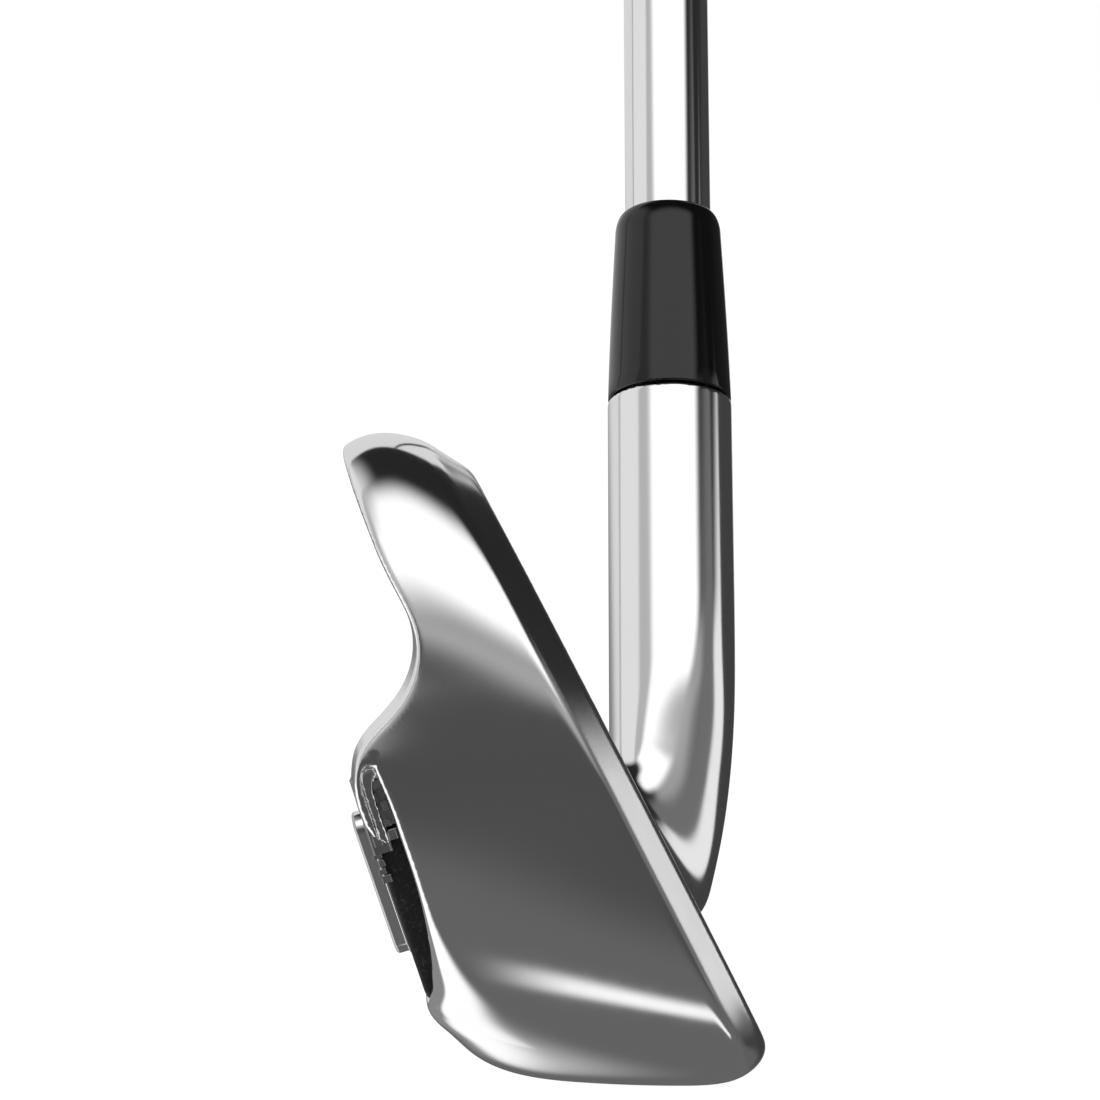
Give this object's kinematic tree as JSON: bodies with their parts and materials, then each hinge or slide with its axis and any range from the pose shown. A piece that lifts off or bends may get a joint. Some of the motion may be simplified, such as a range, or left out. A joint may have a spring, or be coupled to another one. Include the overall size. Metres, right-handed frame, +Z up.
{
  "type": "iron golf club",
  "caption": "Right-handed cavity-back iron golf club with a chrome head, black ferrule, stepped steel shaft and rubber grip.",
  "frame": {"origin": "where the shaft axis meets the ground with the club at address, its sole on the ground", "axes": "+Z up, +X towards the target (the strike face looks that way), +Y from the toe towards the heel and on to the player; the shaft leans along +Y at a 63.5 degree lie"},
  "size_m": [0.0525, 0.5027, 0.8464],
  "materials": {
    "head_body": "polished chrome plate",
    "face_plate": "fine blasted satin",
    "cavity_damper": "moulded elastomer",
    "rear_badge": "satin and polished nickel",
    "badge_inlay": "dark grey anodised",
    "rear_insert": "matt black with a fine grain",
    "badge_adhesive": "cured adhesive film",
    "toe_weight": "sintered tungsten",
    "ferrule": "polished black",
    "hosel_epoxy": "cured epoxy",
    "shaft": "polished chrome plate",
    "tip_weight": "turned",
    "tip_plug": "cork",
    "grip_tape": "double-sided tape",
    "grip": "moulded with a fine pattern",
    "grip_cap": "smooth moulded",
    "shaft_band": "printed film"
  },
  "bodies": {
    "root": {"head_body": "head_body", "face_plate": "face_plate", "cavity_damper": "cavity_damper", "rear_badge": "rear_badge", "badge_inlay": "badge_inlay", "rear_insert": "rear_insert", "badge_adhesive": "badge_adhesive", "toe_weight": "toe_weight", "ferrule": "ferrule", "hosel_epoxy": "hosel_epoxy", "shaft": "shaft", "tip_weight": "tip_weight", "tip_plug": "tip_plug", "grip_tape": "grip_tape", "grip": "grip", "grip_cap": "grip_cap", "shaft_band": "shaft_band"}
  },
  "joints": []
}
